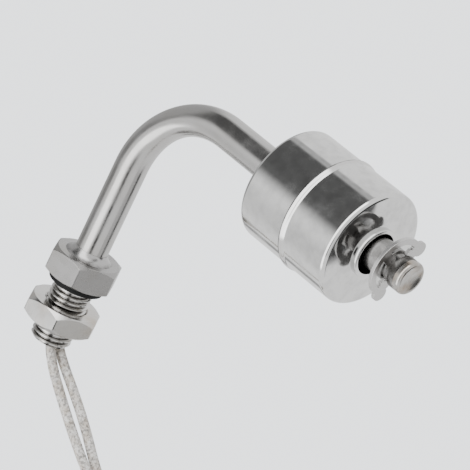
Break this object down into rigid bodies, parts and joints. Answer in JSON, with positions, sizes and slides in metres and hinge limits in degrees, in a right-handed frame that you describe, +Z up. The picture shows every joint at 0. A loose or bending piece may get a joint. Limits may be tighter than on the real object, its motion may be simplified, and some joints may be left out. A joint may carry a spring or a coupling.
{
  "type": "float level switch",
  "caption": "Side-mount float level switch: stainless L-shaped stem with a sliding cylindrical float, hex fitting with hollow threaded shank, gasket, lock nut and leads.",
  "frame": {"origin": "centre of the gasket's wall face, on the thread's axis: the tank wall's inner face lies here", "axes": "+X along the thread from the wall into the tank, +Z up against the hanging stem, +Y completes the right-handed frame"},
  "size_m": [0.1252, 0.0294, 0.1376],
  "materials": {
    "stainless_turned": "satin, fine turning and milling lines",
    "gasket_rubber": "matt black",
    "stainless_nut": "bright turned chamfers, drawn flats",
    "stainless_tube": "satin drawn tube",
    "stainless_clip": "stamped, matt light",
    "stainless_float": "mirror polished stainless steel",
    "stainless_weld": "polished weld ring",
    "ferrite": "dull dark ceramic",
    "clamp_steel": "plain stamped strip",
    "reed_glass": "clear drawn glass",
    "reed_alloy": "plated nickel-iron",
    "insulating_sleeve": "plain off-white",
    "splice_film": "shrunk black film",
    "inner_lead_jacket": "smooth off-white",
    "potting_resin": "cast dark resin",
    "lead_braid": "off-white glass braid with a grey fleck",
    "tie_plastic": "plain white",
    "tinned_copper": "dull tinned strands"
  },
  "bodies": {
    "body": {"hex_fitting": "stainless_turned", "sealing_gasket": "gasket_rubber", "stem_tube": "stainless_tube", "stem_end_cap": "stainless_tube", "upper_retaining_clip": "stainless_clip", "lower_retaining_clip": "stainless_clip", "reed_capsule": "reed_glass", "reed_blade_upper": "reed_alloy", "reed_blade_lower": "reed_alloy", "reed_sleeve": "insulating_sleeve", "splice_sleeve_a": "splice_film", "splice_sleeve_b": "splice_film", "inner_lead_a": "inner_lead_jacket", "inner_lead_b": "inner_lead_jacket", "potting_plug": "potting_resin", "lead_a": "lead_braid", "lead_b": "lead_braid", "lead_coil": "lead_braid", "coil_tie": "tie_plastic", "lead_tip_a": "tinned_copper", "lead_tip_b": "tinned_copper"},
    "float": {"float_upper_shell": "stainless_float", "float_lower_shell": "stainless_float", "float_seam_weld": "stainless_weld", "float_centre_tube": "stainless_float", "float_magnet": "ferrite", "magnet_clamp_upper": "clamp_steel", "magnet_clamp_lower": "clamp_steel"},
    "lock_nut": {"lock_nut": "stainless_nut"}
  },
  "joints": [
    {"name": "float_slide", "type": "slide", "parent": "body", "child": "float", "axis": [0, 0, 1], "range_m": [-0.00535, 0.00055]},
    {"name": "nut_travel", "type": "slide", "parent": "body", "child": "lock_nut", "axis": [1, 0, 0], "range_m": [-0.0049, 0.0049]}
  ]
}
